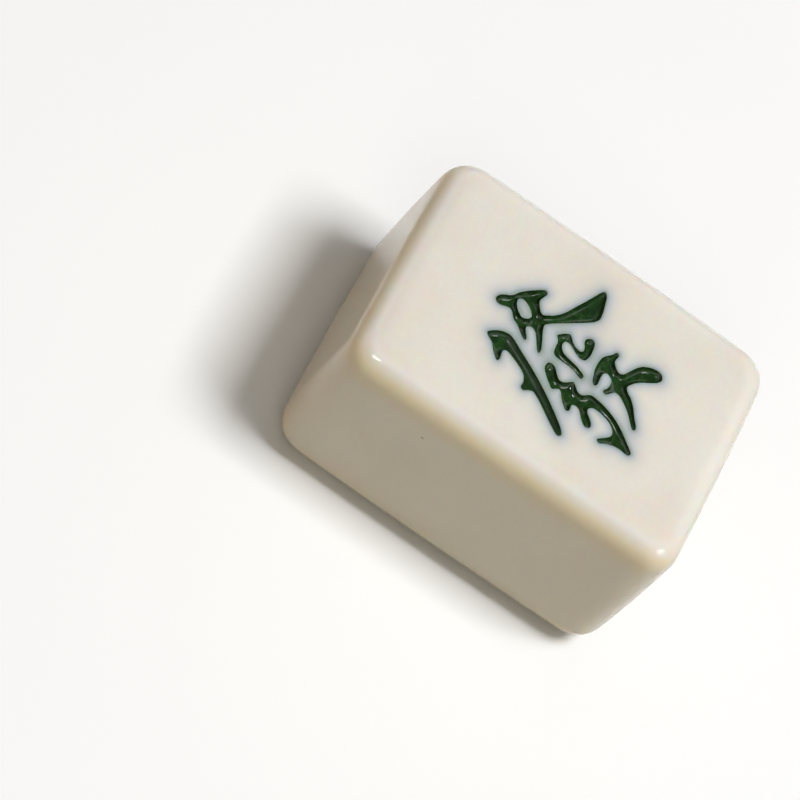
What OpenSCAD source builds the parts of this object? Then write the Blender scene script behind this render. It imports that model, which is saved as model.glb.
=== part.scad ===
// Mahjong tile: one moulded block with a face figure of five engraved pools, each filled with paint.
// The back lies on Z = 0, the engraved face looks along +Z and the figure stands upright along +Y.

/* [Tile] */
// Height of the tile, along the upright of its figure
tile_h = 40; // [34:0.5:52]
// Width of the tile
tile_w = 30; // [26:0.5:40]
// Thickness of the tile, from its back to its face
tile_t = 22.5; // [14:0.5:30]
// Radius of the four corners, seen square on to the face
corner_r = 4; // [2:0.1:6]
// Radius of the edge all round the engraved face
face_edge_r = 3.2; // [1:0.1:4]
// Radius of the edge all round the blank back
back_edge_r = 4; // [1:0.1:6]

/* [Figure] */
// Height of the figure's field in the middle of the face
figure_h = 20; // [12:0.5:26]
// Width of the figure's field
figure_w = 20; // [12:0.5:22]
// Depth of the engraving below the face
groove_depth = 1; // [0.9:0.05:2]
// Depth of the paint's surface below the face
paint_drop = 0.3; // [0:0.05:0.8]
// Straight pieces in each stretch of an outline between two of its points
curve_steps = 3; // [1:1:8]

/* [Hidden] */
$fn = 64;
// How far a groove's cutter runs past the face
cut_over = 1;
ivory = [0.89, 0.86, 0.81];
green = [0.10, 0.27, 0.12];

// An edge can't be rounder than the corner that it runs round.
face_round = min(face_edge_r, corner_r);
back_round = min(back_edge_r, corner_r);

// The flat middle of the block, inside its corners.
core_w = tile_w - 2 * corner_r;
core_h = tile_h - 2 * corner_r;

groove_z = tile_t - groove_depth;
paint_t = groove_depth - paint_drop;

// The outlines below go clockwise, in shares of half the figure's field from its middle.

// Upper right: the knob, the bar down to its point, the broad right sweep and the two left arms.
roof_shares = [
    [0.06, 0.955], [0.11, 0.94], [0.155, 0.895], [0.20, 0.825], [0.31, 0.75], [0.48, 0.575],
    [0.503, 0.53], [0.475, 0.505], [0.42, 0.52], [0.355, 0.54], [0.295, 0.52], [0.245, 0.485],
    [0.222, 0.445], [0.25, 0.40], [0.30, 0.335], [0.38, 0.27], [0.50, 0.205], [0.80, 0.06],
    [0.895, 0.015], [0.93, -0.018], [0.90, -0.052], [0.82, -0.073], [0.60, -0.10], [0.54, -0.072],
    [0.465, 0.00], [0.25, 0.255], [0.172, 0.345], [0.125, 0.38], [0.085, 0.378], [-0.11, 0.31],
    [-0.18, 0.292], [-0.22, 0.305], [-0.20, 0.328], [-0.05, 0.41], [-0.005, 0.455], [0.002, 0.50],
    [-0.025, 0.537], [-0.065, 0.53], [-0.15, 0.482], [-0.182, 0.495], [-0.16, 0.533],
    [-0.075, 0.63], [-0.04, 0.69], [0.015, 0.73], [0.047, 0.77], [0.042, 0.82], [0.02, 0.875],
    [0.02, 0.925],
];
// The island of the face that the roof's arms close in.
island_shares = [
    [0.155, 0.738], [0.21, 0.744], [0.24, 0.70], [0.21, 0.62], [0.16, 0.565],
    [0.112, 0.54], [0.066, 0.57], [0.045, 0.625], [0.085, 0.69],
];
// Left: the hooked head, the long sweep down to the left and the barb on its left side.
sweep_shares = [
    [-0.365, 0.867], [-0.32, 0.838], [-0.265, 0.77], [-0.235, 0.70], [-0.23, 0.64], [-0.25, 0.585],
    [-0.305, 0.495], [-0.45, 0.245], [-0.60, 0.025], [-0.79, -0.205], [-0.86, -0.275],
    [-0.91, -0.294], [-0.94, -0.26], [-0.905, -0.19], [-0.73, 0.045], [-0.675, 0.13],
    [-0.66, 0.18], [-0.688, 0.23], [-0.717, 0.275], [-0.69, 0.302],
    [-0.625, 0.302], [-0.56, 0.33], [-0.51, 0.39], [-0.46, 0.488], [-0.43, 0.56], [-0.425, 0.612],
    [-0.45, 0.637], [-0.51, 0.632], [-0.56, 0.626], [-0.59, 0.647], [-0.57, 0.677], [-0.51, 0.727],
    [-0.44, 0.777], [-0.40, 0.838],
];
// Lower left: the bow, a zigzag of three teeth with a long curve down to its barb.
bow_shares = [
    [-0.30, 0.18], [-0.25, 0.17], [-0.225, 0.13], [-0.25, 0.08], [-0.31, 0.028], [-0.347, -0.015],
    [-0.345, -0.06], [-0.31, -0.105], [-0.267, -0.158], [-0.305, -0.202], [-0.342, -0.25],
    [-0.34, -0.30], [-0.30, -0.345], [-0.273, -0.39], [-0.28, -0.47], [-0.31, -0.60], [-0.36, -0.72],
    [-0.43, -0.83], [-0.515, -0.93], [-0.58, -1.005], [-0.61, -1.022], [-0.645, -0.995], [-0.64, -0.90],
    [-0.65, -0.82], [-0.69, -0.73], [-0.722, -0.67], [-0.695, -0.643], [-0.66, -0.67], [-0.605, -0.725],
    [-0.56, -0.755], [-0.51, -0.75], [-0.45, -0.695], [-0.41, -0.60], [-0.395, -0.495],
    [-0.413, -0.437], [-0.45, -0.417], [-0.49, -0.432], [-0.54, -0.485], [-0.59, -0.52],
    [-0.635, -0.515], [-0.652, -0.47], [-0.62, -0.42], [-0.54, -0.355], [-0.51, -0.32],
    [-0.503, -0.28], [-0.52, -0.25], [-0.56, -0.25], [-0.60, -0.248], [-0.62, -0.22],
    [-0.59, -0.18], [-0.52, -0.12], [-0.47, -0.09], [-0.448, -0.058], [-0.47, -0.02],
    [-0.495, 0.015], [-0.46, 0.06], [-0.39, 0.13], [-0.345, 0.167],
];
// Middle: the bench, a bent left leg, a top with a corner and a right leg that curls up.
bench_shares = [
    [-0.10, 0.163], [-0.03, 0.175], [0.05, 0.182], [0.11, 0.215], [0.15, 0.187], [0.20, 0.13],
    [0.213, 0.103], [0.19, 0.073], [0.14, 0.03], [0.11, -0.03], [0.108, -0.075], [0.135, -0.10],
    [0.18, -0.093], [0.23, -0.07], [0.275, -0.07], [0.315, -0.105], [0.32, -0.145], [0.29, -0.17],
    [0.20, -0.185], [0.10, -0.18], [0.045, -0.158], [0.026, -0.12], [0.045, -0.05], [0.087, 0.02],
    [0.108, 0.07], [0.10, 0.107], [0.068, 0.126], [0.025, 0.12], [-0.02, 0.088], [-0.05, 0.02],
    [-0.07, -0.08], [-0.10, -0.17], [-0.142, -0.223], [-0.175, -0.21], [-0.182, -0.18],
    [-0.15, -0.12], [-0.135, -0.03], [-0.135, 0.07], [-0.125, 0.135],
];
// Lower middle: the cross, a hooked bar over two long legs that pass each other.
cross_shares = [
    [-0.12, -0.325], [-0.04, -0.305], [0.04, -0.29], [0.14, -0.293], [0.21, -0.31], [0.26, -0.343],
    [0.31, -0.385], [0.36, -0.412], [0.367, -0.437], [0.34, -0.45], [0.26, -0.44], [0.22, -0.46],
    [0.18, -0.50], [0.162, -0.54], [0.18, -0.578], [0.25, -0.62], [0.325, -0.66], [0.40, -0.715],
    [0.45, -0.79], [0.472, -0.86], [0.47, -0.92], [0.44, -0.953], [0.40, -0.965], [0.35, -0.94],
    [0.29, -0.87], [0.23, -0.79], [0.16, -0.72], [0.10, -0.683], [0.07, -0.675], [0.03, -0.695],
    [-0.02, -0.76], [-0.09, -0.82], [-0.20, -0.885], [-0.29, -0.944], [-0.33, -0.945],
    [-0.341, -0.92], [-0.30, -0.88], [-0.20, -0.80], [-0.12, -0.71], [-0.077, -0.64],
    [-0.073, -0.60], [-0.10, -0.562], [-0.16, -0.512], [-0.166, -0.484], [-0.14, -0.47],
    [-0.09, -0.495], [-0.03, -0.507], [0.02, -0.50], [0.048, -0.472], [0.066, -0.43],
    [0.045, -0.393], [-0.01, -0.383], [-0.09, -0.385], [-0.135, -0.38], [-0.152, -0.352],
];

// Point at t on the line that is p at t = t0 and q at t = t1.
function on_line(p, q, t0, t1, t) = ((t1 - t) * p + (t - t0) * q) / (t1 - t0);

// Point a share u of the way from point i to the next one, on a smooth closed curve through all
// points. The curve is a Catmull-Rom spline whose pace goes with the square root of each gap, so
// it neither loops nor overshoots where short gaps meet long ones.
function smooth_point(points, i, u) =
    let (
        count = len(points),
        p0 = points[(i + count - 1) % count],
        p1 = points[i],
        p2 = points[(i + 1) % count],
        p3 = points[(i + 2) % count],
        t1 = sqrt(norm(p1 - p0)),
        t2 = t1 + sqrt(norm(p2 - p1)),
        t3 = t2 + sqrt(norm(p3 - p2)),
        t = t1 + u * (t2 - t1),
        a = on_line(p0, p1, 0, t1, t),
        b = on_line(p1, p2, t1, t2, t),
        c = on_line(p2, p3, t2, t3, t)
    )
    on_line(on_line(a, b, 0, t2, t), on_line(b, c, t1, t3, t), t1, t2, t);

// Closed curve through outline points that are given in shares of half the figure's field.
function figure_curve(shares) =
    let (points = [for (s = shares) [s.x * figure_w / 2, s.y * figure_h / 2]])
    [for (i = [0 : len(points) - 1], k = [0 : curve_steps - 1]) smooth_point(points, i, k / curve_steps)];

// Solid with a pool's outline, from its groove's floor up.
module pool(shares, height) {
    translate([0, 0, groove_z])
        linear_extrude(height)
            polygon(figure_curve(shares));
}

// The roof's pool has the island standing in it.
module roof_pool(height) {
    translate([0, 0, groove_z])
        linear_extrude(height)
            difference() {
                polygon(figure_curve(roof_shares));
                polygon(figure_curve(island_shares));
            }
}

// What a rounding of radius r takes off a corner at [r, 0].
module edge_waste(r) {
    difference() {
        square(r);
        translate([0, r])
            circle(r);
    }
}

// Section of the block's rim, from the core out to the wall and from the back up to the face.
module rim_section() {
    difference() {
        square([corner_r, tile_t]);
        translate([corner_r - back_round, 0])
            edge_waste(back_round);
        translate([corner_r - face_round, tile_t])
            mirror([0, 1])
                edge_waste(face_round);
    }
}

// Straight stretch of the rim along Y, outwards from X = 0.
module rim_strip(length) {
    rotate([90, 0, 0])
        linear_extrude(length, center = true)
            rim_section();
}

// Rounded block: a core, four straight stretches of rim and a quarter turn of rim at each corner.
module rounded_block() {
    translate([-core_w / 2, -core_h / 2, 0])
        cube([core_w, core_h, tile_t]);
    for (side = [0, 1]) {
        rotate(180 * side)
            translate([core_w / 2, 0, 0])
                rim_strip(core_h);
        rotate(90 + 180 * side)
            translate([core_h / 2, 0, 0])
                rim_strip(core_w);
        for (end = [0, 1])
            mirror([side, 0, 0])
                mirror([0, end, 0])
                    translate([core_w / 2, core_h / 2, 0])
                        rotate_extrude(angle = 90)
                            rim_section();
    }
}

// The moulded block, with a groove for each pool of paint.
module block() {
    color(ivory)
        difference() {
            rounded_block();
            roof_pool(groove_depth + cut_over);
            for (shares = [sweep_shares, bow_shares, bench_shares, cross_shares])
                pool(shares, groove_depth + cut_over);
        }
}

// Paint in the upper right groove.
module paint_roof() {
    color(green)
        roof_pool(paint_t);
}

// Paint in the left groove.
module paint_sweep() {
    color(green)
        pool(sweep_shares, paint_t);
}

// Paint in the lower left groove.
module paint_bow() {
    color(green)
        pool(bow_shares, paint_t);
}

// Paint in the middle groove.
module paint_bench() {
    color(green)
        pool(bench_shares, paint_t);
}

// Paint in the lower middle groove.
module paint_cross() {
    color(green)
        pool(cross_shares, paint_t);
}

block();
paint_roof();
paint_sweep();
paint_bow();
paint_bench();
paint_cross();
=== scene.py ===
"""Looks of one mahjong tile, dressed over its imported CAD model.

The tile is a polished block of ivory melamine. A figure is cut into its face in five separate
grooves, and each groove holds its own skin of green enamel. The CAD model gives the sizes and the
outlines of the grooves. This script adds soft edges, bowed sides, rounded lips of the grooves,
hollow enamel, the finishes and a plain studio.
"""
import logging
from dataclasses import dataclass, field
from enum import Enum

import bpy
import numpy as np
from bpy.types import Material, Node, NodeSocket, Object, World
from mathutils import Matrix, Vector
from mathutils.geometry import delaunay_2d_cdt


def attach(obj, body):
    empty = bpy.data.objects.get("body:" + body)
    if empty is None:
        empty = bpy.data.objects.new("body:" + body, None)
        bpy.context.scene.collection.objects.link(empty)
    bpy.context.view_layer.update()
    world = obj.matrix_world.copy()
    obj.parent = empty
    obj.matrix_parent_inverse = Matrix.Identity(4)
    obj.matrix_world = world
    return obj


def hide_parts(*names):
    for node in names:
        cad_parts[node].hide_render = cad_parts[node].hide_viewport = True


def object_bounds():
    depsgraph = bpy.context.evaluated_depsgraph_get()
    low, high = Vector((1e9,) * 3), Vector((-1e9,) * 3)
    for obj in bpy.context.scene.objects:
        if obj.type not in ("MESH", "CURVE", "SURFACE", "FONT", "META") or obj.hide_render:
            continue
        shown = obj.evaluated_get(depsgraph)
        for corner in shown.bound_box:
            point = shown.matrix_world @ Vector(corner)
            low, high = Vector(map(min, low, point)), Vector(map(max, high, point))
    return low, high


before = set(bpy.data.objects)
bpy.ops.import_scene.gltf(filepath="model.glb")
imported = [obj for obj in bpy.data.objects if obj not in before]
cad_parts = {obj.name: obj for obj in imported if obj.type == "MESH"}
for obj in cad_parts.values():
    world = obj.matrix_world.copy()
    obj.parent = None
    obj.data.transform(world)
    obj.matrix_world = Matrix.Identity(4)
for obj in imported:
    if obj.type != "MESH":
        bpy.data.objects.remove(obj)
CAD_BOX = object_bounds()

Array = np.ndarray
Pair = tuple[float, float]
Triple = tuple[float, float, float]

MM = 0.001
BODY = "root"
# The CAD model's greatest corner in millimetres: half its width, half its height, its thickness.
CAD_REACH = tuple(round(c / MM, 3) for c in CAD_BOX[1])
# Millimetres: what counts as one height in the CAD model, and as one place in a plan.
SAME_LEVEL = 0.001
SAME_PLACE = 1e-7
# Decimals that tell the corners of the CAD model apart, and the least squared length of a side.
DECIMALS = 4
TINY = 1e-12
# Steps of a curve between two corners, fewest points of a ring, and points measured at a time.
CURVE_STEPS = 24
FEWEST = 8
BATCH = 1500
# Share of its gap from a groove's edge that a lane's point needs, to be kept.
LANE_SHARE = 0.93
log = logging.getLogger("tile")


class Slot(Enum):
    """Material slots of the record."""

    IVORY = "ivory_block"
    ENAMEL = "green_paint"


class Groove(Enum):
    """The five grooves of the figure, by the CAD node of the paint that fills each."""

    ROOF = "paint_roof"
    SWEEP = "paint_sweep"
    BOW = "paint_bow"
    BENCH = "paint_bench"
    CROSS = "paint_cross"


# Shapes seen from above


def rim_rings(node: Object) -> list[Array]:
    """Read the closed edges of a flat-topped solid's top face.

    In words: among the triangles in the highest plane, an edge that is used in one direction
    only belongs to the rim. Each rim corner points to the next one, and doubling that step again
    and again counts how far every corner is from the first corner of its ring.

    Args:
        node: a CAD object of loose triangles.

    Returns:
        One (n, 2) array of millimetres for each ring, with the solid on the left.
    """
    mesh = node.data
    mesh.calc_loop_triangles()
    points = np.empty(3 * len(mesh.vertices))
    mesh.vertices.foreach_get("co", points)
    points = points.reshape(-1, 3) / MM
    corners = np.empty(3 * len(mesh.loop_triangles), np.int32)
    mesh.loop_triangles.foreach_get("vertices", corners)
    triangles = corners.reshape(-1, 3)
    high = points[:, 2] > points[:, 2].max() - SAME_LEVEL
    triangles = triangles[high[triangles].all(axis=1)]
    spots, same = np.unique(np.round(points[:, :2], DECIMALS), axis=0, return_inverse=True)
    triangles = same.reshape(-1)[triangles]
    edges = np.concatenate([triangles[:, [0, 1]], triangles[:, [1, 2]], triangles[:, [2, 0]]])
    count = len(spots)
    rim = edges[~np.isin(edges[:, 0] * count + edges[:, 1], edges[:, 1] * count + edges[:, 0])]
    ahead = np.arange(count)
    ahead[rim[:, 0]] = rim[:, 1]
    doublings = range(int(np.ceil(np.log2(count))) + 1)
    first, hop = np.arange(count), ahead.copy()
    for _ in doublings:
        first, hop = np.minimum(first, first[hop]), hop[hop]
    away = (first != np.arange(count)).astype(int)
    hop = np.where(away == 0, np.arange(count), ahead)
    for _ in doublings:
        away, hop = away + away[hop], hop[hop]
    rings = []
    for leader in np.unique(first[rim[:, 0]]):
        members = np.flatnonzero(first == leader)
        rings.append(spots[members[np.argsort(-away[members] % len(members))]])
    return rings


def smooth_ring(corners: Array, step: float) -> Array:
    """Place points at an even step along a smooth closed curve through a ring's corners.

    In words: between two corners the curve is a cubic with the centripetal Catmull-Rom
    directions at its ends, with knots spaced by the square roots of the chords. Evenly spaced
    points are read off its running length.

    Args:
        corners: (n, 2) points of the ring in order.
        step: wanted distance between points.

    Returns:
        (m, 2) points in order, without the first one repeated.
    """
    before, start, end, after = (np.roll(corners, k, axis=0) for k in (1, 0, -1, -2))
    knot_a, knot_b, knot_c = (
        np.sqrt(np.linalg.norm(q - p, axis=1))[:, None]
        for p, q in ((before, start), (start, end), (end, after))
    )
    leave = (start - before) / knot_a - (end - before) / (knot_a + knot_b) + (end - start) / knot_b
    arrive = (end - start) / knot_b - (after - start) / (knot_b + knot_c) + (after - end) / knot_c
    leave, arrive = leave * knot_b, arrive * knot_b
    t = np.linspace(0, 1, CURVE_STEPS, endpoint=False)[None, :, None]
    start, end, leave, arrive = (a[:, None, :] for a in (start, end, leave, arrive))
    curve = (
        start * (2 * t**3 - 3 * t**2 + 1)
        + leave * (t**3 - 2 * t**2 + t)
        + end * (3 * t**2 - 2 * t**3)
        + arrive * (t**3 - t**2)
    ).reshape(-1, 2)
    closed = np.concatenate([curve, curve[:1]])
    run = np.concatenate([[0], np.cumsum(np.linalg.norm(np.diff(closed, axis=0), axis=1))])
    marks = np.linspace(0, run[-1], max(int(round(run[-1] / step)), FEWEST), endpoint=False)
    return np.stack([np.interp(marks, run, closed[:, k]) for k in (0, 1)], axis=1)


def right_hand(ring: Array) -> Array:
    """Find the directions that point away from the stroke, at right angles to the way round.

    Args:
        ring: (n, 2) points in order, with the stroke on the left.

    Returns:
        (n, 2) unit directions.
    """
    way = np.roll(ring, -1, axis=0) - np.roll(ring, 1, axis=0)
    way /= np.linalg.norm(way, axis=1, keepdims=True)
    return np.stack([way[:, 1], -way[:, 0]], axis=1)


def within(points: Array, rings: list[Array]) -> Array:
    """Tell which points lie inside the rings.

    In words: a ray from the point towards +X crosses the rings an odd number of times.

    Args:
        points: (n, 2) points.
        rings: closed rings, each as (m, 2) points.

    Returns:
        (n,) truth values.
    """
    a = np.concatenate(rings)
    b = np.concatenate([np.roll(ring, -1, axis=0) for ring in rings])
    parts = []
    for some in np.array_split(points, max(1, len(points) // BATCH)):
        x, y = some[:, :1], some[:, 1:]
        spans = (a[:, 1] > y) != (b[:, 1] > y)
        rise = np.where(b[:, 1] == a[:, 1], 1.0, b[:, 1] - a[:, 1])
        cross = a[:, 0] + (y - a[:, 1]) * (b[:, 0] - a[:, 0]) / rise
        parts.append(((spans & (cross > x)).sum(axis=1) % 2).astype(bool))
    return np.concatenate(parts)


def distance(points: Array, rings: list[Array]) -> Array:
    """Measure how far each point is from the nearest ring.

    In words: the point's foot on each straight piece is held between the piece's ends, and the
    nearest foot counts.

    Args:
        points: (n, 2) points.
        rings: closed rings, each as (m, 2) points.

    Returns:
        (n,) distances.
    """
    a = np.concatenate(rings)
    along = np.concatenate([np.roll(ring, -1, axis=0) for ring in rings]) - a
    square = np.maximum((along**2).sum(axis=1), TINY)
    parts = []
    for some in np.array_split(points, max(1, len(points) // BATCH)):
        off = some[:, None, :] - a
        share = np.clip((off * along).sum(axis=2) / square, 0, 1)
        parts.append(np.sqrt(((off - share[:, :, None] * along) ** 2).sum(axis=2).min(axis=1)))
    return np.concatenate(parts)


def hex_points(around: Array, step: float) -> Array:
    """Spread points over the bounds of a shape in an even triangular net.

    In words: rows lie an even triangle's height apart, and every other one is moved half a step.

    Args:
        around: (m, 2) points of the shape.
        step: distance between neighbours.

    Returns:
        (n, 2) points.
    """
    low, high = around.min(axis=0), around.max(axis=0)
    rise = step * np.sqrt(0.75)
    x, y = np.meshgrid(np.arange(low[0], high[0], step), np.arange(low[1], high[1], rise))
    x = x + (np.arange(x.shape[0]) % 2)[:, None] * step / 2
    return np.stack([x.ravel(), y.ravel()], axis=1)


def triangulate(points: Array, rims: list[Array]) -> Array:
    """Join plan points by Delaunay triangles that keep the rims as edges.

    Args:
        points: (n, 2) points.
        rims: closed rings, each as the indices of its points in order.

    Returns:
        (m, 3) indices, anticlockwise seen from above, over the whole hull of the points.
    """
    edges = np.concatenate([np.stack([rim, np.roll(rim, -1)], axis=1) for rim in rims])
    spots, _, faces, *_ = delaunay_2d_cdt(
        [Vector(p) for p in points.tolist()], edges.tolist(), [], 0, SAME_PLACE
    )
    if len(spots) != len(points):
        raise ValueError("two plan points fall together or two rims cross")
    faces = np.array(faces)
    a, b, c = (points[faces[:, k]] for k in range(3))
    turn = (b - a)[:, 0] * (c - a)[:, 1] - (b - a)[:, 1] * (c - a)[:, 0]
    return np.where((turn > 0)[:, None], faces, faces[:, ::-1])


def rounded_frame(power: float, counts: tuple[int, int, int]) -> tuple[Array, Array]:
    """Split a rounded rectangle into points, as places on a unit frame.

    In words: a corner is a quarter of a superellipse, turned copies of it are the others, and
    straight runs of evenly shared points join them.

    Args:
        power: the superellipse's power, 2 for a circle.
        counts: steps in a corner, along the short sides and along the long ones.

    Returns:
        Two (n, 2) arrays: the corner centre's side (-1 to 1 along each half size), and the
        offset from that centre as a share of the corner's size.
    """
    angle = np.linspace(0, np.pi / 2, counts[0] + 1)
    bend = np.stack([np.cos(angle), np.sin(angle)], axis=1) ** (2 / power)
    signs, offsets = [], []
    turn = np.array([[0.0, -1.0], [1.0, 0.0]])
    side, quarter = np.array([1.0, 1.0]), bend
    for straight in 2 * counts[1:]:
        signs.append(np.repeat(side[None], len(angle), axis=0))
        offsets.append(quarter)
        following = turn @ side
        share = np.linspace(0, 1, straight + 1)[1:-1, None]
        signs.append(side + (following - side) * share)
        offsets.append(np.repeat(quarter[-1:], straight - 1, axis=0))
        side, quarter = following, quarter @ turn.T
    return np.concatenate(signs), np.concatenate(offsets)


# Meshes


@dataclass
class Shell:
    """Points and faces of one closed mesh, gathered part by part in millimetres."""

    points: list[Array] = field(default_factory=list)
    faces: list[Array] = field(default_factory=list)
    count: int = 0

    def add(self, points: Array) -> Array:
        """Take in points.

        Args:
            points: (n, 3) places.

        Returns:
            (n,) indices of them in the mesh.
        """
        self.points.append(points)
        self.count += len(points)
        return np.arange(self.count - len(points), self.count)

    def lay(self, plan: Array, level: Array | float) -> Array:
        """Take in plan points at a height, and give their indices."""
        return self.add(np.column_stack([plan, np.broadcast_to(level, len(plan))]))

    def net(self, rows: Array) -> None:
        """Join closed rows of points by quads.

        Args:
            rows: (r, n) indices, from the top row down.
        """
        a, b = rows[:-1], rows[1:]
        quads = np.stack([a, b, np.roll(b, -1, axis=1), np.roll(a, -1, axis=1)], axis=-1)
        self.faces.append(quads.reshape(-1, 4))

    def cap(self, parts: list[Array], rims: list[Array], down: bool = False) -> None:
        """Fill rings with triangles, by the odd and even rule.

        Args:
            parts: indices of the points that take part, the rims' too.
            rims: indices of the rings that bound the cap.
            down: turn the faces to look down.
        """
        plan = np.concatenate(self.points)[:, :2]
        use = np.concatenate(parts)
        place = np.full(self.count, -1)
        place[use] = np.arange(len(use))
        faces = triangulate(plan[use], [place[rim] for rim in rims])
        middle = plan[use][faces].mean(axis=1)
        faces = use[faces[within(middle, [plan[rim] for rim in rims])]]
        self.faces.append(faces[:, ::-1] if down else faces)

    def build(self, name: str, material: Material) -> Object:
        """Make the object, with its place in its mesh and smooth shading.

        Args:
            name: the piece's name.
            material: its finish.

        Returns:
            The linked object, at the origin.
        """
        mesh = bpy.data.meshes.new(name)
        points = np.concatenate(self.points) * MM
        faces = [face for part in self.faces for face in part.tolist()]
        mesh.from_pydata(points.tolist(), [], faces)
        mesh.polygons.foreach_set("use_smooth", np.ones(len(mesh.polygons), bool))
        mesh.materials.append(material)
        mesh.update()
        piece = bpy.data.objects.new(name, mesh)
        bpy.context.scene.collection.objects.link(piece)
        return piece


def store(piece: Object, name: str, values: Array) -> None:
    """Write one number for each vertex as an attribute of the mesh."""
    layer = piece.data.attributes.new(name, "FLOAT", "POINT")
    layer.data.foreach_set("value", values.astype(np.float32))


# Shader sheets


@dataclass
class Value:
    """A node's output that can be used in sums."""

    sheet: "Sheet"
    socket: NodeSocket

    def _join(self, operation: str, first: object, second: object) -> "Value":
        """Add one Math node of two inputs."""
        node = self.sheet.node("ShaderNodeMath", {0: first, 1: second}, operation=operation)
        return Value(self.sheet, node.outputs[0])

    def __add__(self, other: object) -> "Value":
        """Sum."""
        return self._join("ADD", self, other)

    __radd__ = __add__

    def __sub__(self, other: object) -> "Value":
        """Difference."""
        return self._join("SUBTRACT", self, other)

    def __rsub__(self, other: object) -> "Value":
        """Difference from a number."""
        return self._join("SUBTRACT", other, self)

    def __mul__(self, other: object) -> "Value":
        """Product."""
        return self._join("MULTIPLY", self, other)

    __rmul__ = __mul__

    def above(self, edge: object) -> "Value":
        """One where this is greater than the edge, and nought elsewhere."""
        return self._join("GREATER_THAN", self, edge)

    def most(self, other: object) -> "Value":
        """The greater of the two."""
        return self._join("MAXIMUM", self, other)

    def ramp(self, low: float, high: float, start: float = 0.0, end: float = 1.0) -> "Value":
        """Turn one span of values smoothly into another, and hold both ends.

        Args:
            low, high: the span that is turned.
            start, end: what its two ends become.

        Returns:
            The turned value.
        """
        node = self.sheet.node(
            "ShaderNodeMapRange",
            {0: self, 1: low, 2: high, 3: start, 4: end},
            interpolation_type="SMOOTHSTEP",
        )
        return Value(self.sheet, node.outputs[0])


class Sheet:
    """The nodes of one material or world."""

    def __init__(self, owner: Material | World) -> None:
        """Start from an empty tree.

        Args:
            owner: what the nodes belong to.
        """
        owner.use_nodes = True
        self.tree = owner.node_tree
        self.tree.nodes.clear()

    def node(self, kind: str, inputs: dict | None = None, **settings: str) -> Node:
        """Add one node.

        Args:
            kind: the node's type.
            inputs: numbers, colours or outputs for its sockets, by name or place.
            settings: its properties, set first.

        Returns:
            The node.
        """
        made = self.tree.nodes.new(kind)
        for name, value in settings.items():
            setattr(made, name, value)
        for name, value in (inputs or {}).items():
            if isinstance(value, Value):
                self.tree.links.new(value.socket, made.inputs[name])
            else:
                made.inputs[name].default_value = value
        return made

    def out(self, node: Node, name: str | int = 0) -> Value:
        """One output of a node."""
        return Value(self, node.outputs[name])

    def blend(self, share: object, first: object, second: object) -> Value:
        """Mix two colours: the first where the share is 0, the second where it is 1."""
        node = self.node("ShaderNodeMix", {0: share, 6: first, 7: second}, data_type="RGBA")
        return self.out(node, 2)

    def stored(self, name: str) -> Value:
        """The number that the mesh keeps for each of its points under a name."""
        return self.out(self.node("ShaderNodeAttribute", attribute_name=name), "Fac")

    def place(self) -> Value:
        """Object coordinates."""
        return self.out(self.node("ShaderNodeTexCoord"), "Object")

    def stretch(self, where: Value, scale: Triple, turn: Triple) -> Value:
        """Turn and scale coordinates."""
        inputs = {"Vector": where, "Scale": scale, "Rotation": turn}
        return self.out(self.node("ShaderNodeMapping", inputs))

    def noise(self, where: Value, size: float, detail: float, rough: float) -> Value:
        """Smooth noise between 0 and 1, whose blots are about one size (millimetres) across."""
        inputs = {"Vector": where, "Scale": 1 / (size * MM), "Detail": detail, "Roughness": rough}
        return self.out(self.node("ShaderNodeTexNoise", inputs))


def linear(red: int, green: int, blue: int) -> tuple[float, float, float, float]:
    """Turn a screen colour into the linear one that a socket takes.

    Args:
        red, green, blue: 0 to 255.

    Returns:
        Red, green, blue and alpha.
    """
    c = np.array([red, green, blue]) / 255
    c = np.where(c > 0.04045, ((c + 0.055) / 1.055) ** 2.4, c / 12.92)
    return (*c.tolist(), 1.0)


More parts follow.
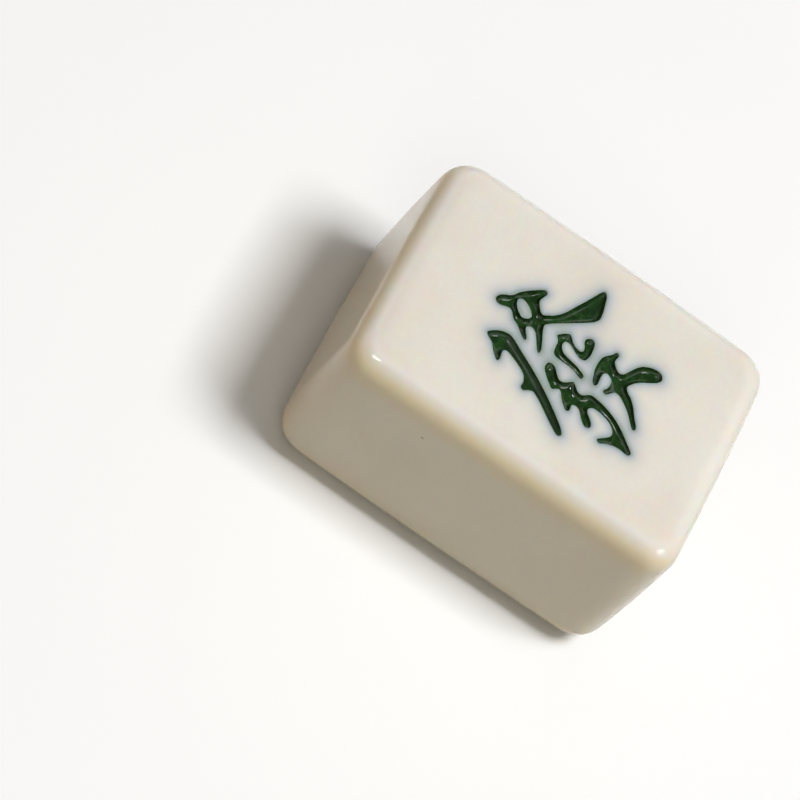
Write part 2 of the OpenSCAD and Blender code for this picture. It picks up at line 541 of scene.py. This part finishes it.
@dataclass(frozen=True)
class Melamine:
    """Polished ivory melamine: warm, faintly clouded, and slightly clear to light.

    Colours lie over each other from pale to speck, and a share says how much of one is laid on at
    most. Sizes and heights are in millimetres, and dot_radii are shares of a cell. cloud, grain,
    hair and wave are noises, each with its size, detail and roughness. A cut turns a noise into
    blots, and a rough value is what its noise adds to the gloss. depth is the scattering distance
    of red light in metres, and spread gives all three colours' as shares of it.
    """

    pale: tuple = linear(234, 230, 222)
    deep: tuple = linear(231, 225, 215)
    # Painted shade: a cool, dim tint beside the strokes.
    shade: tuple = linear(127, 154, 180)
    # Painted shade, greener right at the strokes' edges.
    green_shade: tuple = linear(152, 163, 110)
    # Painted glow of light through the rounded edges.
    warm: tuple = linear(231, 219, 184)
    # Painted highlight along the face's rim.
    bright: tuple = linear(240, 237, 234)
    speck: tuple = linear(112, 98, 80)
    shade_share: float = 0.77
    green_shade_share: float = 0.42
    rim_highlight_share: float = 0.7
    dot_share: float = 0.5
    mark_share: float = 0.4
    cloud: Triple = (9.0, 3.0, 0.5)
    grain: Triple = (0.55, 2.0, 0.6)
    hair: Triple = (1.6, 4.0, 0.65)
    wave: Triple = (2.8, 1.0, 0.5)
    cell_size: float = 3.4
    rare_cut: float = 0.9
    cloud_part: float = 0.75
    cloud_cut: Pair = (0.35, 0.65)
    green_shade_cut: Pair = (0.55, 1.0)
    dot_radii: Pair = (0.012, 0.022)
    hair_scale: Triple = (1.0, 14.0, 6.0)
    hair_turn: Triple = (0.3, 0.5, 0.7)
    wave_height: float = 0.012
    wave_strength: float = 0.25
    hair_height: float = 0.0015
    hair_strength: float = 0.2
    gloss: float = 0.12
    hair_rough: float = 0.06
    cloud_rough: float = 0.05
    halo_rough: float = 0.03
    refraction: float = 1.5
    depth: float = 0.0011
    spread: Triple = (1.0, 0.62, 0.36)
    mark: Triple = (-15.0, 8.26, 16.95)
    mark_radii: Pair = (0.08, 0.3)

    def material(self) -> Material:
        """Build the finish.

        Returns:
            The material.
        """
        material = bpy.data.materials.new("ivory_melamine")
        s = Sheet(material)
        where = s.place()
        cloud = s.noise(where, *self.cloud)
        grain = s.noise(where, *self.grain)
        mixed = cloud * self.cloud_part + grain * (1 - self.cloud_part)
        colour = s.blend(mixed.ramp(*self.cloud_cut), self.pale, self.deep)
        # Painted shade beside the strokes, greener at their edges, then a painted glow of light
        # through the rounded edges and a painted highlight along the face's rim.
        painted_shade = s.stored("painted_shade")
        colour = s.blend(painted_shade * self.shade_share, colour, self.shade)
        colour = s.blend(painted_shade.ramp(*self.green_shade_cut) * self.green_shade_share, colour, self.green_shade)
        colour = s.blend(s.stored("edge"), colour, self.warm)
        colour = s.blend(s.stored("rim") * self.rim_highlight_share, colour, self.bright)
        cells = s.node("ShaderNodeTexVoronoi", {
            "Vector": where, "Scale": 1 / (self.cell_size * MM)})
        chance = s.out(s.node("ShaderNodeSeparateColor", {0: s.out(cells, 1)}), 0)
        dots = s.out(cells, 0).ramp(*self.dot_radii, 1.0, 0.0) * chance.above(self.rare_cut)
        mark = tuple(c * MM for c in self.mark)
        apart = s.node("ShaderNodeVectorMath", {0: where, 1: mark}, operation="DISTANCE")
        near, far = (radius * MM for radius in self.mark_radii)
        spot = s.out(apart, 1).ramp(near, far, self.mark_share, 0.0)
        colour = s.blend((dots * self.dot_share).most(spot), colour, self.speck)
        streaks = s.stretch(where, self.hair_scale, self.hair_turn)
        hair = s.noise(streaks, *self.hair)
        wave = s.noise(where, *self.wave)
        rough = self.gloss + (hair - 0.5) * self.hair_rough + (cloud - 0.5) * self.cloud_rough
        rough = rough + painted_shade * self.halo_rough
        swell = s.node("ShaderNodeBump", {
            "Strength": self.wave_strength, "Distance": self.wave_height * MM, "Height": wave})
        fine = s.node("ShaderNodeBump", {
            "Strength": self.hair_strength, "Distance": self.hair_height * MM, "Height": hair,
            "Normal": s.out(swell)})
        shader = s.node("ShaderNodeBsdfPrincipled", {
            "Base Color": colour,
            "Roughness": rough,
            "IOR": self.refraction,
            "Subsurface Weight": 1.0,
            "Subsurface Radius": self.spread,
            "Subsurface Scale": self.depth,
            "Normal": s.out(fine),
        }, subsurface_method="RANDOM_WALK")
        s.node("ShaderNodeOutputMaterial", {"Surface": s.out(shader)})
        return material


@dataclass(frozen=True)
class Enamel:
    """Green enamel brushed into the grooves, thicker and flecked below, with painted shade
    darkening it along the groove walls.

    Colours lie over each other from dark to wall. Names are as for the melamine.
    """

    dark: tuple = linear(23, 49, 22)
    green: tuple = linear(35, 68, 30)
    fleck: tuple = linear(84, 96, 62)
    rust: tuple = linear(58, 48, 28)
    # Painted shade along the groove walls.
    wall: tuple = linear(20, 35, 17)
    fleck_share: float = 0.6
    rust_share: float = 0.65
    wall_shade_share: float = 0.45
    dull_share: float = 0.35
    blot: Triple = (0.9, 3.0, 0.5)
    grit: Triple = (0.13, 2.0, 0.6)
    chips: Triple = (0.2, 3.0, 0.7)
    stains: Triple = (0.26, 3.0, 0.7)
    brush: Triple = (1.7, 2.0, 0.5)
    blot_part: float = 0.7
    grit_part: float = 0.6
    blot_cut: Pair = (0.38, 0.62)
    fleck_cut: Pair = (0.57, 0.68)
    rust_cut: Pair = (0.54, 0.66)
    half_cut: Pair = (0.4, 0.55)
    brush_cut: Pair = (0.5, 0.7)
    grit_height: float = 0.02
    grit_strength: float = 0.4
    gloss: float = 0.09
    grit_rough: float = 0.06
    fleck_rough: float = 0.2
    dull_rough: float = 0.24
    brush_rough: float = 0.08
    refraction: float = 1.4
    coat: float = 0.22
    coat_loss: float = 0.25
    coat_gloss: float = 0.1

    def material(self) -> Material:
        """Build the finish.

        Returns:
            The material.
        """
        material = bpy.data.materials.new("green_enamel")
        s = Sheet(material)
        where = s.place()
        blot = s.noise(where, *self.blot)
        grit = s.noise(where, *self.grit)
        mixed = blot * self.blot_part + grit * (1 - self.blot_part)
        colour = s.blend(mixed.ramp(*self.blot_cut), self.dark, self.green)
        chips = s.noise(where, *self.chips).ramp(*self.fleck_cut)
        flecks = chips * blot.ramp(*self.half_cut)
        colour = s.blend(flecks * self.fleck_share, colour, self.fleck)
        stains = s.noise(where, *self.stains).ramp(*self.rust_cut)
        rust = stains * (1 - blot).ramp(*self.half_cut)
        colour = s.blend(rust * self.rust_share, colour, self.rust)
        # Painted shade: the colour darkens towards the groove walls, and the matt stretches are
        # darkened towards the same colour.
        dull = s.stored("dull")
        darker = (s.stored("wall_shade") * self.wall_shade_share).most(dull * self.dull_share)
        colour = s.blend(darker, colour, self.wall)
        brush = s.noise(where, *self.brush).ramp(*self.brush_cut)
        rough = self.gloss + grit * self.grit_rough + flecks * self.fleck_rough
        rough = rough + dull * self.dull_rough + brush * self.brush_rough
        bump = s.node("ShaderNodeBump", {
            "Strength": self.grit_strength, "Distance": self.grit_height * MM,
            "Height": grit * self.grit_part + blot * (1 - self.grit_part)})
        shader = s.node("ShaderNodeBsdfPrincipled", {
            "Base Color": colour,
            "Roughness": rough,
            "IOR": self.refraction,
            "Coat Weight": (self.coat - dull * self.coat_loss).most(0.0),
            "Coat Roughness": self.coat_gloss,
            "Normal": s.out(bump),
        })
        s.node("ShaderNodeOutputMaterial", {"Surface": s.out(shader)})
        return material


# The tile


@dataclass
class Figure:
    """The five grooves' outlines, smoothed to an even step, in millimetres."""

    step: float = 0.09
    rings: dict[Groove, list[Array]] = field(default_factory=dict)

    def __post_init__(self) -> None:
        """Take the outlines from the CAD paint."""
        for groove in Groove:
            rims = rim_rings(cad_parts[groove.value])
            self.rings[groove] = [smooth_ring(rim, self.step) for rim in rims]

    def outer(self) -> list[Array]:
        """The widest ring of each groove."""
        return [max(rings, key=lambda r: np.ptp(r[:, 0])) for rings in self.rings.values()]

    def all(self) -> list[Array]:
        """Every ring of every groove."""
        return [ring for rings in self.rings.values() for ring in rings]


@dataclass
class Block:
    """The moulded body: bowed, softly rounded, with the figure cut into its face.

    Lengths are in millimetres. power shapes the curves of edges and corners, and a corner shrinks
    by a share of each row's inset. near gives the distances of the lanes of points along the
    grooves, and beyond fine_reach the points lie flat_step apart. haze is how far the painted cool
    shade beside the strokes reaches. The warm tint is a painted glow of light through the edges
    and the bright tint a painted highlight along the face's rim. Their places count along the
    profile, and the lit values say how they differ from side to side, by how the light falls.
    """

    figure: Figure
    half: Pair = CAD_REACH[:2]
    height: float = CAD_REACH[2]
    corner: float = 3.6
    face_edge: float = 3.2
    back_edge: float = 4.3
    power: float = 2.3
    shrink: float = 0.5
    bow: Triple = (0.15, 0.2, 0.15)
    lip: float = 0.06
    # The painted shade beside the strokes: how far it reaches, how pairs of strokes add to it, and
    # its share on islands.
    haze: float = 0.6
    pinch: float = 0.5
    island_shade: float = 0.4
    groove_depth: float = 1.0
    wall_ring: float = 0.25
    near: tuple[float, ...] = (0.025, 0.055, 0.1, 0.17, 0.28, 0.44)
    fine_step: float = 0.24
    fine_gap: float = 0.12
    fine_reach: float = 1.8
    flat_step: float = 0.9
    rim_gap: float = 0.45
    back_step: float = 1.6
    back_gap: float = 0.7
    counts: tuple[int, int, int] = (22, 20, 26)
    edge_steps: int = 22
    wall_steps: int = 15
    # Painted glow of light through the edges: its place and widths along the profile, and its
    # shares.
    glow_at: float = 3.6
    glow_widths: Pair = (0.75, 2.0)
    glow_share: float = 0.85
    wall_share: float = 0.2
    wall_fade: float = 5.0
    back_glow_at: float = 4.2
    back_glow_width: float = 2.0
    back_glow_share: float = 0.3
    # Painted highlight along the face's rim; the lit values share both painted tints out by side.
    highlight_at: float = 1.85
    highlight_width: float = 0.5
    lit_middle: float = 0.725
    lit_lean: float = 0.39
    lit_least: float = 0.45

    def bowed(self, points: Array) -> Array:
        """Bow the six sides outwards.

        In words: each point is moved towards the middle of the block along each axis by its
        share of the half size there, times the squares of its two other shares, each with a bow
        of its own. The walls bow along plan and height, and face and back both ways alike.

        Args:
            points: (n, 3) places.

        Returns:
            (n, 3) bowed places.
        """
        size = np.array([*self.half, self.height / 2])
        share = (points - np.array([0, 0, self.height / 2])) / size
        flat, tall, face = self.bow
        mix = np.array([[0, flat, tall], [flat, 0, tall], [face, face, 0]])
        return points - share * (share**2 @ mix.T)

    def profile(self) -> tuple[Array, Array]:
        """Shape of the shell seen from the side, from the face's flat down to the back's.

        In words: each edge is a quarter of a superellipse, and the wall is straight.

        Returns:
            Inset and height of each row of points.
        """
        angle = np.linspace(0, np.pi / 2, self.edge_steps + 1)
        across, down = np.sin(angle) ** (2 / self.power), np.cos(angle) ** (2 / self.power)
        top = self.height - self.face_edge * (1 - down)
        start = self.height - self.face_edge
        wall = np.linspace(start, self.back_edge, self.wall_steps + 1)[1:-1]
        low = self.back_edge * (1 - down[::-1])
        inset = np.concatenate([
            self.face_edge * (1 - across), np.zeros(len(wall)), self.back_edge * (1 - across[::-1])
        ])
        return inset, np.concatenate([top, wall, low])

    def run(self) -> Array:
        """Length of the profile from the face's flat to each row of the shell."""
        inset, level = self.profile()
        return np.concatenate([[0.0], np.cumsum(np.hypot(np.diff(inset), np.diff(level)))])

    def edge_glow(self) -> Array:
        """How far the surface leans towards the warmer colour: a painted glow of light through the
        rounded edges.

        In words: it follows a bell along the profile, steeper on the face's side than on the
        wall's, where a share of it stays and fades out towards the back. The back's edge gets a
        fainter bell, and each column has a share of the sum.

        Returns:
            A share for each point of the shell.
        """
        run = self.run()
        left = run[-1] - run
        off = run - self.glow_at
        stays = np.where(off < 0, 0.0, self.wall_share * np.clip(left / self.wall_fade, 0, 1))
        bell = np.exp(-((off / np.where(off < 0, *self.glow_widths)) ** 2))
        back = np.exp(-(((left - self.back_glow_at) / self.back_glow_width) ** 2))
        rows = self.glow_share * (stays + (1 - stays) * bell) + self.back_glow_share * back
        return rows[:, None] * self.lit_side()

    def rim_highlight(self) -> Array:
        """Share of the painted highlight along the rim: a bell along the profile, by a column's
        share above least.
        """
        bell = np.exp(-(((self.run() - self.highlight_at) / self.highlight_width) ** 2))
        return bell[:, None] * (self.lit_side() - self.lit_least) / (1 - self.lit_least)

    def lit_side(self) -> Array:
        """Share of the painted glow and highlight for each column, by how the light falls: full
        towards -X and +Y, and least opposite.

        In words: a middle share plus a lean by the way that the column faces, within limits.

        Returns:
            A share for each column of the shell.
        """
        _, offset = rounded_frame(self.power, self.counts)
        lean = offset @ np.array([-self.lit_lean, self.lit_lean])
        return np.clip(self.lit_middle + lean, self.lit_least, 1)

    def rows(self) -> Array:
        """Carry the profile round the plan.

        In words: a row's plan is a rounded rectangle moved in by the row's inset, with corners
        that shrink by a share of it.

        Returns:
            Points of the shell as an (r, n, 3) array.
        """
        inset, level = (a[:, None, None] for a in self.profile())
        side, offset = rounded_frame(self.power, self.counts)
        corner = self.corner - self.shrink * inset
        plan = side * (np.array(self.half) - inset - corner) + offset * corner
        return np.concatenate([plan, np.broadcast_to(level, (*plan.shape[:2], 1))], axis=2)

    def face_points(self, rim: Array) -> Array:
        """Spread points over the face: close together near the grooves, wide apart elsewhere.

        Args:
            rim: (n, 2) points round the face's flat.

        Returns:
            (m, 2) points between the rim and the grooves.
        """
        rings = self.figure.all()
        sparse = hex_points(rim, self.flat_step)
        sparse = sparse[within(sparse, [rim])]
        clear = distance(sparse, [rim]) > self.rim_gap
        sparse = sparse[(distance(sparse, rings) > self.fine_reach) & clear]
        close = hex_points(rim, self.fine_step)
        away = distance(close, rings)
        close = close[(away > self.near[-1] + self.fine_gap) & (away <= self.fine_reach)]
        sets = [sparse, close]
        for gap in self.near:
            lane = np.concatenate([ring + right_hand(ring) * gap for ring in rings])
            sets.append(lane[distance(lane, rings) > gap * LANE_SHARE])
        points = np.concatenate(sets)
        return points[within(points, [rim, *rings])]

    def painted_shade_at(self, plan: Array) -> Array:
        """Painted shade: how cool and dim the face is painted beside the strokes.

        In words: each ring's share falls off exponentially with the distance from it. The shares
        are joined like chances, every pair of them adds a part of its product, and an island
        inside a stroke gets a set share of what is left.

        Args:
            plan: (n, 2) points of the face.

        Returns:
            (n,) shares of the shade.
        """
        near = np.array([
            np.exp(-distance(plan, [ring]) / self.haze) for ring in self.figure.all()
        ])
        pairs = (near.sum(axis=0) ** 2 - (near**2).sum(axis=0)) / 2
        haze = 1 - np.prod(1 - near, axis=0) + self.pinch * pairs
        island = within(plan, self.figure.outer())
        haze = np.where(island, self.island_shade + (1 - self.island_shade) * haze, haze)
        return np.clip(haze, 0, 1)

    def build(self, finish: Melamine) -> Object:
        """Make the block and put it in the CAD block's place.

        Args:
            finish: the melamine.

        Returns:
            The block.
        """
        shell = Shell()
        rows = self.rows()
        index = shell.add(rows.reshape(-1, 3)).reshape(rows.shape[:2])
        shell.net(index)
        rings = self.figure.all()
        plan = self.face_points(rows[0, :, :2])
        away = distance(plan, rings)
        drop = np.maximum(self.lip - away, 0)
        level = self.height - (self.lip - np.sqrt(np.maximum(self.lip**2 - drop**2, 0)))
        inner = shell.lay(plan, level)
        edges, bottoms = [], []
        for ring in rings:
            levels = (self.lip, self.wall_ring, self.groove_depth)
            lines = [shell.lay(ring, self.height - below) for below in levels]
            shell.net(np.stack(lines))
            edges.append(lines[0])
            bottoms.append(lines[-1])
        shell.cap([index[0], inner, *edges], [index[0], *edges])
        floors = list(bottoms)
        for rims in self.figure.rings.values():
            mine, floors = floors[:len(rims)], floors[len(rims):]
            shell.cap(mine, mine)
        rim = rows[-1, :, :2]
        back = hex_points(rim, self.back_step)
        back = back[within(back, [rim])]
        back = back[distance(back, [rim]) > self.back_gap]
        under = shell.lay(back, 0.0)
        shell.cap([index[-1], under], [index[-1]], down=True)
        points = np.concatenate(shell.points)
        # Painted light in the colour: the shade beside the strokes and in the grooves, the glow
        # through the edges and the highlight along the rim.
        painted_shade, edge, bright = np.zeros((3, len(points)))
        painted_shade[inner] = self.painted_shade_at(plan)
        painted_shade[np.concatenate([*edges, *bottoms])] = 1.0
        edge[index], bright[index] = self.edge_glow(), self.rim_highlight()
        shell.points = [self.bowed(points)]
        piece = shell.build("tile_block", finish.material())
        store(piece, "painted_shade", painted_shade)
        store(piece, "edge", edge)
        store(piece, "rim", bright)
        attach(piece, BODY)
        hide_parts("block")
        return piece


@dataclass
class PaintPool:
    """The enamel in one groove: a closed body with a hollow, rippled top.

    Lengths are in millimetres. top and depth are the drops of the enamel below the face, at the
    wall and far from it, reach is how soon it goes from one to the other, and bite is how far it
    runs into the wall. near gives the distances of the lanes of points along the rings. The
    sweep's head and the roof's tail say where the matt stretches start, and fade how softly.
    """

    groove: Groove
    rings: list[Array]
    block: Block
    top: float = 0.07
    depth: float = 0.86
    reach: float = 0.27
    ripple: float = 0.014
    bite: float = 0.01
    near: tuple[float, ...] = (0.025, 0.055, 0.09, 0.13, 0.18, 0.24, 0.31, 0.39)
    step: float = 0.1
    net_gap: float = 0.05
    floor_gap: float = 0.004
    seed: int = 11
    wave_count: int = 9
    wave_turn: float = 2.399963
    wave_lengths: Pair = (0.6, 1.9)
    most_rounds: int = 400
    close_enough: float = 1e-18
    wall_shade_reach: float = 0.14
    sweep_head: float = 1.6
    roof_tail: float = 3.4
    roof_way: Pair = (0.775, -0.632)
    roof_share: float = 0.8
    bow_share: float = -0.15
    fade: float = 1.2

    def waves(self, plan: Array) -> Array:
        """Uneven thickness of the enamel.

        In words: a sum of sine waves, each turned on from the last by the golden angle, with
        seeded lengths and phases, divided by the root of their number.

        Args:
            plan: (n, 2) points.

        Returns:
            (n,) heights of about one at most.
        """
        random = np.random.default_rng(list(Groove).index(self.groove) + self.seed)
        turn = np.arange(self.wave_count) * self.wave_turn
        length = random.uniform(*self.wave_lengths, self.wave_count)
        phase = random.uniform(0, 2 * np.pi, self.wave_count)
        way = np.stack([np.cos(turn), np.sin(turn)]) * 2 * np.pi / length
        return np.sin(plan @ way + phase).sum(axis=1) / np.sqrt(self.wave_count)

    def skin(self, plan: Array, faces: Array, fixed: Array) -> Array:
        """Drop of the enamel's top below the face.

        In words: a skin is held at the rim and drawn towards its full depth inside. Its drop h
        solves: Laplacian of h = (h - depth) / reach squared. The Laplacian is the cotangent one,
        a point weighs a third of its triangles' area, and conjugate gradients solve the sum.

        Args:
            plan: (n, 2) points.
            faces: (m, 3) triangles.
            fixed: which points are held at the top of the wall.

        Returns:
            (n,) drops in millimetres.
        """
        count = len(plan)
        weight, near, far = [], [], []
        area = np.zeros(count)
        for k in range(3):
            a, b, c = (faces[:, (k + i) % 3] for i in range(3))
            u, v = plan[a] - plan[c], plan[b] - plan[c]
            twice = u[:, 0] * v[:, 1] - u[:, 1] * v[:, 0]
            weight.append((u * v).sum(axis=1) / twice / 2)
            near.append(a)
            far.append(b)
            area += np.bincount(c, twice / 6, count)
        weight, near, far = map(np.concatenate, (weight, near, far))
        pull = area / self.reach**2

        def spread(h: Array) -> Array:
            """The left side of the sum for a trial h."""
            flow = weight * (h[near] - h[far])
            return np.bincount(near, flow, count) - np.bincount(far, flow, count) + pull * h

        goal = self.depth + self.ripple * self.waves(plan)
        held = np.where(fixed, self.top, 0.0)
        free = ~fixed
        rest = (pull * goal - spread(held)) * free
        h, way = np.zeros(count), rest.copy()
        size = rest @ rest
        for _ in range(self.most_rounds):
            push = spread(way) * free
            pace = size / (way @ push)
            h, rest = h + pace * way, rest - pace * push
            fresh = rest @ rest
            if fresh < self.close_enough:
                break
            way, size = rest + way * fresh / size, fresh
        return h + held

    def dullness(self, plan: Array) -> Array:
        """How matt the enamel is.

        In words: the left sweep is matt from a distance below its head on, and the right one
        along the last stretch of its way. The bow is a little glossier than the others.

        Args:
            plan: (n, 2) points.

        Returns:
            (n,) shares, of which negative ones mean more gloss.
        """
        if self.groove is Groove.SWEEP:
            below = plan[:, 1].max() - plan[:, 1]
            return np.clip((below - self.sweep_head) / self.fade, 0, 1)
        if self.groove is Groove.ROOF:
            along = plan @ np.array(self.roof_way)
            tail = (along - along.max() + self.roof_tail) / self.fade
            return self.roof_share * np.clip(tail, 0, 1)
        return np.full(len(plan), self.bow_share if self.groove is Groove.BOW else 0.0)

    def build(self, finish: Material) -> Object:
        """Make the pool and put it in the CAD paint's place.

        Args:
            finish: the enamel.

        Returns:
            The pool.
        """
        flat = [ring + right_hand(ring) * self.bite for ring in self.rings]
        lanes = []
        for gap in self.near:
            lane = np.concatenate([ring - right_hand(ring) * gap for ring in self.rings])
            lanes.append(lane[distance(lane, self.rings) > gap * LANE_SHARE])
        net = hex_points(np.concatenate(flat), self.step)
        net = net[distance(net, self.rings) > self.near[-1] + self.net_gap]
        inner = np.concatenate([net, *lanes])
        inner = inner[within(inner, self.rings)]
        shell = Shell()
        rims = [shell.lay(ring, 0.0) for ring in flat]
        inside = shell.lay(inner, 0.0)
        shell.cap([*rims, inside], rims)
        points = np.concatenate(shell.points)
        fixed = np.zeros(len(points), bool)
        fixed[np.concatenate(rims)] = True
        points[:, 2] = self.block.height - self.skin(points[:, :2], shell.faces[0], fixed)
        shell.points = [points]
        floor = self.block.height - self.block.groove_depth + self.floor_gap
        lows = [shell.lay(ring, floor) for ring in flat]
        shell.cap(lows, lows, down=True)
        for rim, low in zip(rims, lows):
            shell.net(np.stack([low, rim]))
        points = np.concatenate(shell.points)
        # Painted shade along the groove walls, fading with the distance from the rings.
        wall_shade = np.exp(-distance(points[:, :2], self.rings) / self.wall_shade_reach)
        shell.points = [self.block.bowed(points)]
        piece = shell.build("enamel_" + self.groove.name.lower(), finish)
        store(piece, "wall_shade", wall_shade)
        store(piece, "dull", self.dullness(points[:, :2]))
        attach(piece, BODY)
        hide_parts(self.groove.value)
        return piece


# The studio


@dataclass(frozen=True)
class Lamp:
    """A rectangular light panel that faces the tile from a set distance, in metres.

    towards points from the tile to the panel, spread is how wide and how tall it looks in
    degrees, and turn rolls it. At a strength of 1 a white sheet that faces it looks white.
    A panel without gloss leaves no highlight, and one without diffuse leaves nothing else.
    """

    name: str
    towards: Triple
    spread: Pair
    strength: float
    gloss: bool = True
    diffuse: bool = True
    turn: float = 0.0
    colour: Triple = (1.0, 1.0, 1.0)
    distance: float = 1.0

    def build(self) -> None:
        """Add the light."""
        data = bpy.data.lights.new(self.name, "AREA")
        data.shape = "RECTANGLE"
        half = np.tan(np.radians(self.spread) / 2) * self.distance
        data.size, data.size_y = (2 * half).tolist()
        data.energy = self.strength * (np.pi * self.distance) ** 2
        data.color = self.colour
        ahead = Vector(self.towards).normalized()
        level = Vector((0, 0, 1)).cross(ahead).normalized()
        axes = Matrix((level, ahead.cross(level), ahead)).transposed().to_4x4()
        roll = Matrix.Rotation(np.radians(self.turn), 4, "Z")
        lamp = bpy.data.objects.new(self.name, data)
        lamp.matrix_world = Matrix.Translation(ahead * self.distance) @ axes @ roll
        lamp.visible_glossy = self.gloss
        lamp.visible_diffuse = self.diffuse
        lamp.visible_camera = False
        bpy.context.scene.collection.objects.link(lamp)


@dataclass(frozen=True)
class Studio:
    """A white floor that turns up into a low wall all round, soft lights and the camera.

    Lengths are in metres. The camera and reflections see paper, with the tile's shadow up to the
    first far radius and evenly bright from the second one on. All other rays see a table, and a
    black wall above the heights of lift. place, right and up say where the camera stands, and
    where the picture's right and top point.
    """

    lamps: tuple[Lamp, ...] = (
        Lamp("key", (0.0, -0.342, 0.94), (20, 20), 0.78, gloss=False),
        Lamp("side", (-0.707, 0.0, 0.707), (24, 24), 0.12, gloss=False, colour=(1.0, 0.95, 0.8)),
        Lamp("end", (0.15, 0.97, 0.15), (14, 14), 0.1, gloss=False, colour=(1.0, 0.66, 0.36)),
        Lamp("dome", (0.0, -0.05, 1.0), (90, 90), 0.38, gloss=False),
        Lamp("window", (-0.25, -0.72, 0.65), (18, 12), 0.17, diffuse=False),
        Lamp("strip", (-0.49, 0.29, 0.82), (18, 3.5), 0.32, diffuse=False, turn=22.0),
    )
    floor_radius: float = 0.8
    cove: float = 0.35
    wall_top: float = 0.8
    floor_radii: tuple[float, ...] = (0.002, 0.03, 0.06, 0.1, 0.16, 0.25, 0.4, 0.6)
    cove_steps: int = 16
    wall_steps: int = 3
    turns: int = 96
    white: tuple = (0.97, 0.97, 0.97, 1.0)
    table: tuple = (0.5, 0.455, 0.355, 1.0)
    far: Pair = (0.05, 0.18)
    lift: Pair = (0.02, 0.1)
    sky: float = 0.03
    place: Triple = (-0.2995148, 0.0786780, 0.4051505)
    right: Triple = (0.3887184, -0.8162495, 0.4273578)
    up: Triple = (0.7087064, 0.5612872, 0.4274247)
    lens: float = 221.113
    clip: Pair = (0.01, 20.0)

    def backdrop(self) -> Object:
        """Build floor and wall as one surface of revolution.

        In words: the profile runs out along the floor, turns up a quarter circle and climbs the
        wall, and is carried once round the upright axis.

        Returns:
            The backdrop.
        """
        angle = np.linspace(0, np.pi / 2, self.cove_steps + 1)
        out = np.concatenate([
            self.floor_radii,
            self.floor_radius + self.cove * np.sin(angle),
            np.full(self.wall_steps, self.floor_radius + self.cove),
        ])
        up = np.concatenate([
            np.zeros(len(self.floor_radii)),
            self.cove * (1 - np.cos(angle)),
            np.linspace(self.cove, self.wall_top, self.wall_steps + 1)[1:],
        ])
        turn = np.linspace(0, 2 * np.pi, self.turns, endpoint=False)
        points = np.stack([
            out[:, None] * np.cos(turn), out[:, None] * np.sin(turn),
            np.repeat(up[:, None], self.turns, axis=1),
        ], axis=-1)[::-1] / MM
        shell = Shell()
        index = shell.add(points.reshape(-1, 3)).reshape(points.shape[:2])
        shell.net(index)
        shell.faces.append(index[-1][None, :])
        return shell.build("backdrop", self.paper())

    def paper(self) -> Material:
        """White paper for what is seen in it, and a warm table for the light that it throws back.

        The floor keeps the tile's shadow and glows evenly from far out.

        Returns:
            The material.
        """
        material = bpy.data.materials.new("studio_paper")
        s = Sheet(material)
        rays = s.node("ShaderNodeLightPath")
        seen = s.out(rays, "Is Camera Ray").most(s.out(rays, "Is Glossy Ray"))
        seen = seen.most(s.out(rays, "Is Transmission Ray"))
        where = s.place()
        away = s.out(s.node("ShaderNodeVectorMath", {0: where}, operation="LENGTH"), 1)
        far = away.ramp(*self.far)
        white = s.node("ShaderNodeBsdfDiffuse", {"Color": self.white})
        glow = s.node("ShaderNodeEmission", {"Strength": 1.0})
        shown = s.node("ShaderNodeMixShader", {0: far, 1: s.out(white), 2: s.out(glow)})
        table = s.node("ShaderNodeBsdfDiffuse", {"Color": self.table})
        wall = s.node("ShaderNodeEmission", {"Strength": 0.0})
        lift = s.out(s.node("ShaderNodeSeparateXYZ", {0: where}), 2).ramp(*self.lift)
        thrown = s.node("ShaderNodeMixShader", {0: lift, 1: s.out(table), 2: s.out(wall)})
        both = s.node("ShaderNodeMixShader", {0: seen, 1: s.out(thrown), 2: s.out(shown)})
        s.node("ShaderNodeOutputMaterial", {"Surface": s.out(both)})
        return material

    def camera(self) -> None:
        """Stand the camera where the photograph was taken from, with its roll and lens."""
        right, up = Vector(self.right), Vector(self.up)
        back = right.cross(up)
        data = bpy.data.cameras.new("camera")
        data.lens = self.lens
        data.clip_start, data.clip_end = self.clip
        camera = bpy.data.objects.new("camera", data)
        turn = Matrix((right, up, back)).transposed().to_4x4()
        camera.matrix_world = Matrix.Translation(self.place) @ turn
        bpy.context.scene.collection.objects.link(camera)
        bpy.context.scene.camera = camera

    def build(self) -> None:
        """Set up everything that isn't part of the tile."""
        for lamp in self.lamps:
            lamp.build()
        self.backdrop()
        world = bpy.data.worlds.new("sky")
        s = Sheet(world)
        glow = s.node("ShaderNodeBackground", {"Strength": self.sky})
        s.node("ShaderNodeOutputWorld", {"Surface": s.out(glow)})
        bpy.context.scene.world = world
        bpy.context.scene.view_settings.view_transform = "Standard"
        self.camera()


def main() -> None:
    """Build the tile, report its pieces, then set up the studio."""
    logging.basicConfig(level=logging.INFO, format="%(name)s: %(message)s")
    figure = Figure()
    block = Block(figure)
    pieces = [block.build(Melamine())]
    enamel = Enamel().material()
    for groove, rings in figure.rings.items():
        pieces.append(PaintPool(groove, rings, block).build(enamel))
    for piece in pieces:
        mesh = piece.data
        log.info("%s: %d vertices, %d faces", piece.name, len(mesh.vertices), len(mesh.polygons))
    Studio().build()


if __name__ == "__main__":
    main()
